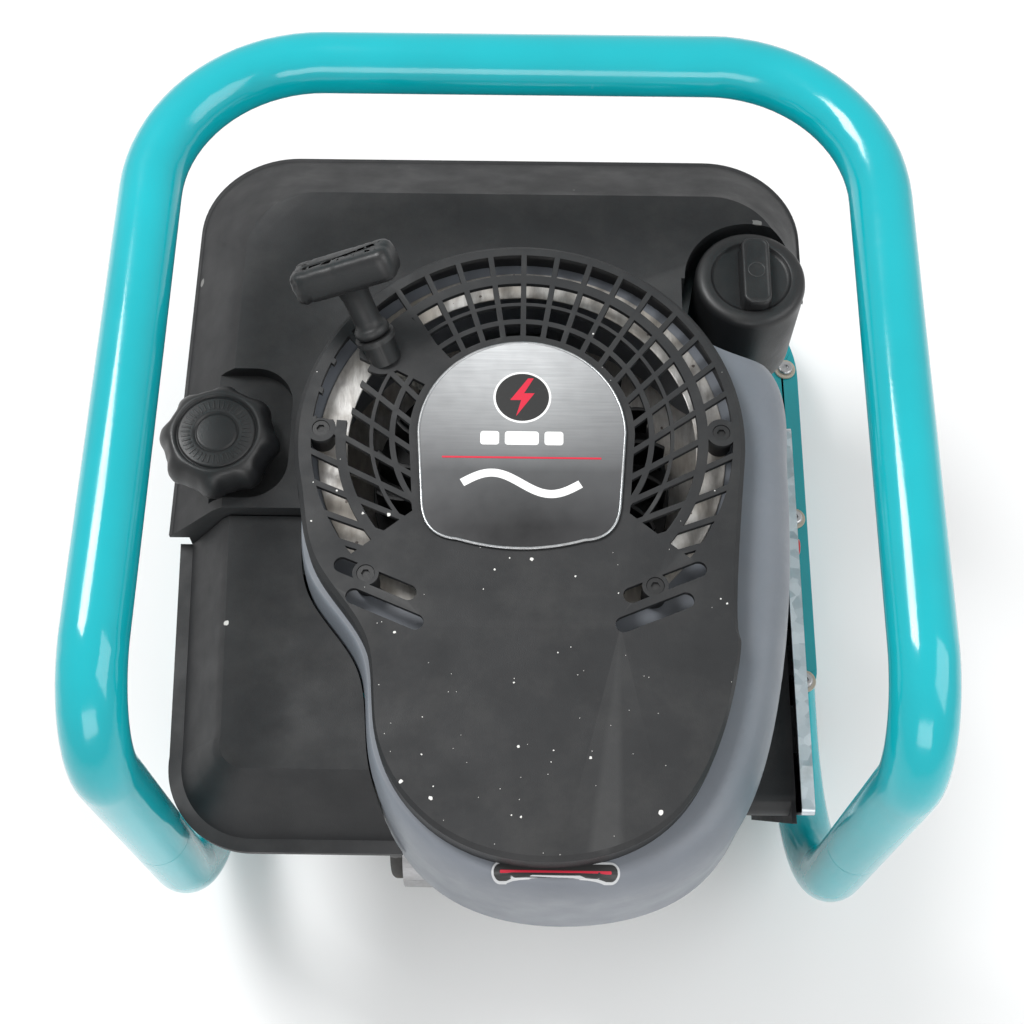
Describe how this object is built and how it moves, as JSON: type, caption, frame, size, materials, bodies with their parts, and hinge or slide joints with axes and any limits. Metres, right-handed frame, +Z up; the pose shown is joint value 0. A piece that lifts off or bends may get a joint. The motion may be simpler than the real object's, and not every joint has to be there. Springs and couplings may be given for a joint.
{
  "type": "inverter generator",
  "caption": "Open-frame portable inverter generator with a tube hoop frame, vertical-shaft engine, recoil starter, tank and side outlet panel.",
  "frame": {"origin": "on the floor under the middle of the whole", "axes": "+X to the right of the panel side, +Y from the engine nose to the open back of the frame, +Z up"},
  "size_m": [0.408, 0.5076, 0.396],
  "materials": {
    "teal_paint": "gloss",
    "deck_paint": "satin",
    "black_cover": "textured matte",
    "black_trim": "satin",
    "grey_cover": "satin",
    "black_rubber": "matte",
    "tan_rubber": "matte",
    "zinc": "zinc plated",
    "galvanised": "spangled",
    "dusty_steel": "dusty",
    "cast_aluminium": "cast",
    "steel": "machined",
    "iron": "machined",
    "copper": "enamelled wire",
    "label": "printed gradient",
    "rope": "braided",
    "foam": "open cell",
    "brass": "satin",
    "outlet": "gloss",
    "red": "gloss",
    "lamp": "tinted",
    "ceramic": "glazed",
    "heat_paint": "heat-proof matte"
  },
  "bodies": {
    "frame": {"frame_upper_hoop": "teal_paint", "frame_lower_hoop": "teal_paint", "rubber_feet": "black_rubber", "deck_plate": "deck_paint", "deck_washers": "tan_rubber", "deck_bolts": "zinc", "engine_isolators": "black_rubber", "alternator_housing": "cast_aluminium", "stator_core": "iron", "stator_windings": "copper", "crankcase": "cast_aluminium", "cylinder_head": "cast_aluminium", "valve_cover": "steel", "spark_plug": "ceramic", "spark_plug_boot": "black_rubber", "blower_backplate": "dusty_steel", "ignition_coil": "black_trim", "engine_shroud": "grey_cover", "blower_ring": "dusty_steel", "blower_cover": "black_cover", "cover_screws": "black_trim", "label_plate": "label", "recoil_spring": "steel", "rope_guide": "black_trim", "starter_rope": "rope", "carburettor": "cast_aluminium", "air_cleaner_base": "black_cover", "air_filter_element": "foam", "muffler": "heat_paint", "muffler_guard": "steel", "oil_filler_tube": "grey_cover", "fuel_tank": "black_cover", "tank_brackets": "zinc", "fuel_valve": "cast_aluminium", "fuel_hose": "black_rubber", "control_panel": "galvanised", "panel_fascia": "black_trim", "control_box": "black_cover", "inverter_module": "cast_aluminium", "ac_outlets": "outlet", "dc_socket": "outlet", "pilot_lamps": "lamp", "ground_terminal": "brass"},
    "crank": {"crankshaft": "steel", "alternator_rotor": "iron", "flywheel": "cast_aluminium", "cooling_fan": "black_trim", "starter_cup": "steel"},
    "piston": {"piston": "cast_aluminium"},
    "recoil_pulley": {"starter_pulley": "black_trim"},
    "pull_handle": {"starter_handle": "black_trim"},
    "choke": {"choke_lever": "black_trim"},
    "cleaner_cover": {"side_cover_left": "black_cover"},
    "oil_lift": {"oil_cap_seal": "black_rubber"},
    "oil_cap": {"oil_cap": "black_trim"},
    "fuel_lift": {"fuel_cap_gasket": "black_rubber"},
    "fuel_cap": {"fuel_cap": "black_trim"},
    "valve_lever": {"fuel_valve_lever": "red"},
    "breaker": {"breaker_button": "red"},
    "switch": {"engine_switch": "red"}
  },
  "joints": [
    {"name": "crank_spin", "type": "hinge", "parent": "frame", "child": "crank", "pos_m": [0.005, -0.014, 0.2], "axis": [0, 0, 1], "continuous": true},
    {"name": "piston_stroke", "type": "slide", "parent": "frame", "child": "piston", "axis": [0, -1, 0], "range_m": [-0.022, 0.022]},
    {"name": "starter_pull", "type": "slide", "parent": "frame", "child": "pull_handle", "axis": [-0.3593, 0.4991, 0.7885], "range_m": [0, 0.6], "stiffness_N_per_m": 20, "springref_m": -0.4, "deforming": ["starter_rope"]},
    {"name": "pulley_spin", "type": "hinge", "parent": "frame", "child": "recoil_pulley", "pos_m": [0.005, -0.014, 0.275], "axis": [0, 0, 1], "range_deg": [0, 740]},
    {"name": "choke_turn", "type": "hinge", "parent": "frame", "child": "choke", "pos_m": [-0.061, -0.18, 0.187], "axis": [0, 0, 1], "range_deg": [-30, 30]},
    {"name": "cleaner_cover_lift", "type": "slide", "parent": "frame", "child": "cleaner_cover", "axis": [0, 0, 1], "range_m": [0, 0.06]},
    {"name": "oil_cap_lift", "type": "slide", "parent": "frame", "child": "oil_lift", "axis": [0, 0, 1], "range_m": [0, 0.08]},
    {"name": "oil_cap_turn", "type": "hinge", "parent": "oil_lift", "child": "oil_cap", "pos_m": [0.136, 0.104, 0.265], "axis": [0, 0, 1], "range_deg": [0, 90]},
    {"name": "fuel_cap_lift", "type": "slide", "parent": "frame", "child": "fuel_lift", "axis": [0, 0, 1], "range_m": [0, 0.06]},
    {"name": "fuel_cap_turn", "type": "hinge", "parent": "fuel_lift", "child": "fuel_cap", "pos_m": [-0.16, -0.009, 0.28], "axis": [0, 0, 1], "range_deg": [0, 270]},
    {"name": "fuel_valve_turn", "type": "hinge", "parent": "frame", "child": "valve_lever", "pos_m": [-0.1413, 0.016, 0.166], "axis": [1, 0, 0], "range_deg": [0, 90]},
    {"name": "breaker_press", "type": "slide", "parent": "frame", "child": "breaker", "axis": [-1, 0, 0], "range_m": [0, 0.003], "stiffness_N_per_m": 400, "springref_m": -0.001},
    {"name": "switch_rock", "type": "hinge", "parent": "frame", "child": "switch", "pos_m": [0.166, -0.0455, 0.107], "axis": [0, 1, 0], "range_deg": [-8, 8]}
  ],
  "couplings": [
    {"joint": "pulley_spin", "follows": "starter_pull", "rad_per_m": 21.27}
  ]
}
